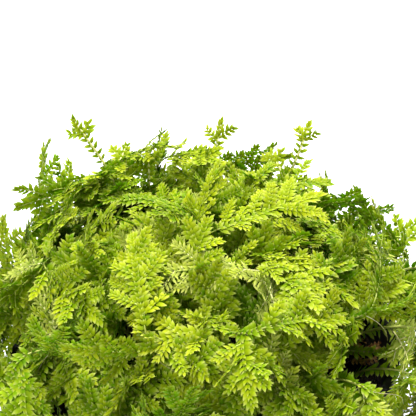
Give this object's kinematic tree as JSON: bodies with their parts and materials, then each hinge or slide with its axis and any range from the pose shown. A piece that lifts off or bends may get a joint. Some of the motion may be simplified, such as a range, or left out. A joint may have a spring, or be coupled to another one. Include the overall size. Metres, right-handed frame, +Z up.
{
  "type": "potted spikemoss plant",
  "caption": "Low dense mound of bright golden-green fern-like sprays spilling over the rim of a round black nursery pot.",
  "frame": {"origin": "centre of the flat underside of the pot's base, on the surface it stands on", "axes": "+Z up along the pot's axis; -Y towards the viewer of the picture, +X to the viewer's right"},
  "size_m": [0.1427, 0.1476, 0.1429],
  "materials": {
    "black_plastic": "satin black moulded plastic",
    "potting_soil": "matte dark crumbly peat",
    "spikemoss_leaf": "satin, slightly translucent yellow-green leaf"
  },
  "bodies": {
    "root": {"cleft_hanger": "spikemoss_leaf", "cleft_runner": "spikemoss_leaf", "pot": "black_plastic", "soil": "potting_soil", "spray_01": "spikemoss_leaf", "spray_02": "spikemoss_leaf", "spray_03": "spikemoss_leaf", "spray_04": "spikemoss_leaf", "spray_05": "spikemoss_leaf", "spray_06": "spikemoss_leaf", "spray_07": "spikemoss_leaf", "spray_08": "spikemoss_leaf", "spray_09": "spikemoss_leaf", "spray_10": "spikemoss_leaf", "spray_11": "spikemoss_leaf", "spray_12": "spikemoss_leaf", "spray_13": "spikemoss_leaf", "spray_14": "spikemoss_leaf", "spray_16": "spikemoss_leaf", "spray_18": "spikemoss_leaf", "spray_19": "spikemoss_leaf", "spray_20": "spikemoss_leaf", "spray_21": "spikemoss_leaf", "spray_22": "spikemoss_leaf", "spray_23": "spikemoss_leaf", "spray_24": "spikemoss_leaf", "spray_25": "spikemoss_leaf", "spray_26": "spikemoss_leaf", "spray_28": "spikemoss_leaf", "spray_29": "spikemoss_leaf", "spray_30": "spikemoss_leaf", "spray_31": "spikemoss_leaf", "spray_33": "spikemoss_leaf", "spray_34": "spikemoss_leaf", "spray_35": "spikemoss_leaf", "spray_36": "spikemoss_leaf", "spray_37": "spikemoss_leaf", "spray_38": "spikemoss_leaf", "spray_39": "spikemoss_leaf", "spray_40": "spikemoss_leaf", "spray_41": "spikemoss_leaf", "spray_42": "spikemoss_leaf", "spray_43": "spikemoss_leaf", "spray_44": "spikemoss_leaf", "spray_45": "spikemoss_leaf", "spray_46": "spikemoss_leaf", "spray_47": "spikemoss_leaf", "spray_48": "spikemoss_leaf", "spray_50": "spikemoss_leaf", "sprig_crest": "spikemoss_leaf", "sprig_left": "spikemoss_leaf", "sprig_peak": "spikemoss_leaf", "sprig_right": "spikemoss_leaf"}
  },
  "joints": []
}
